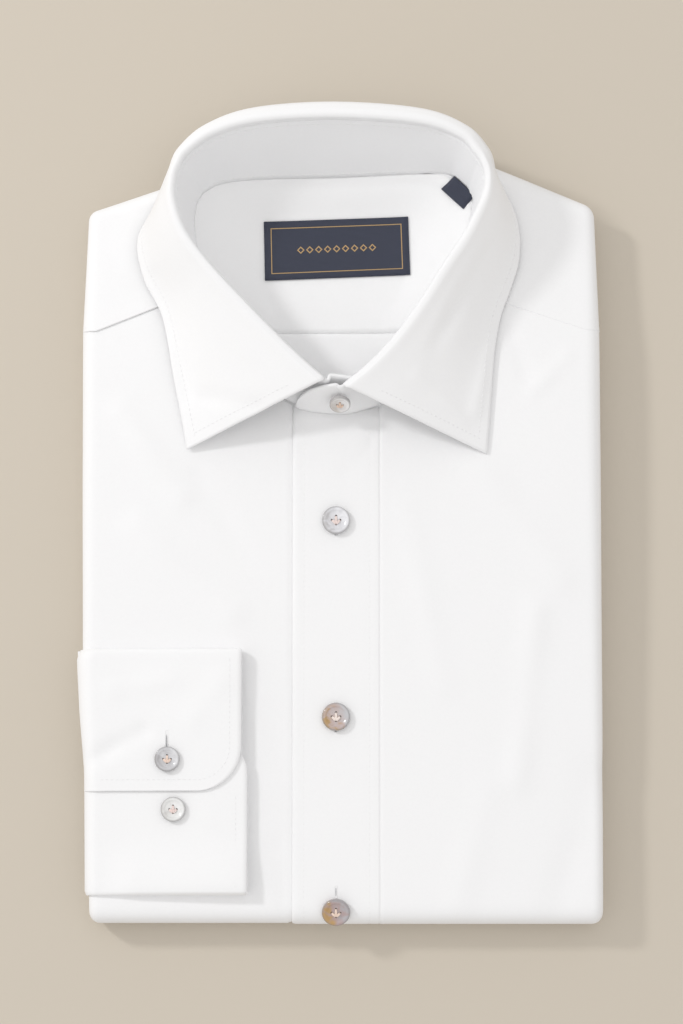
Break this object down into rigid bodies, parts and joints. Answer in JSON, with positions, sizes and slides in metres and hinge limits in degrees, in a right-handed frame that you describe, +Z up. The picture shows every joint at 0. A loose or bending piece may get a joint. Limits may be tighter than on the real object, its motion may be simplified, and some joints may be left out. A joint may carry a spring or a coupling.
{
  "type": "folded dress shirt",
  "caption": "Long-sleeved dress shirt folded flat, face up, with a standing spread collar and one cuff turned to the front.",
  "frame": {"origin": "on the table, under the middle of the folded shirt's outline", "axes": "+X to the picture's right across the fold, +Y from the bottom fold to the collar, +Z up from the table"},
  "size_m": [0.2413, 0.3777, 0.0585],
  "materials": {
    "shirting": "fine white poplin, pressed, with a faint sheen",
    "shirting_inside": "fine white poplin, inside and hidden layers",
    "woven_label": "dark navy woven ribbon with a plain gold border",
    "pearl_button": "polished shell, silver grey to amber"
  },
  "bodies": {
    "root": {"folded_layers": "shirting_inside", "right_front": "shirting", "left_front": "shirting", "front_placket": "shirting", "yoke": "shirting", "inner_yoke": "shirting_inside", "back_panel": "shirting_inside", "collar_stand": "shirting", "collar_leaf": "shirting", "right_cuff": "shirting", "right_sleeve": "shirting", "neck_label": "woven_label", "size_tab": "woven_label", "collar_button": "pearl_button", "front_button_1": "pearl_button", "front_button_2": "pearl_button", "front_button_3": "pearl_button", "cuff_button_1": "pearl_button", "cuff_button_2": "pearl_button"}
  },
  "joints": []
}
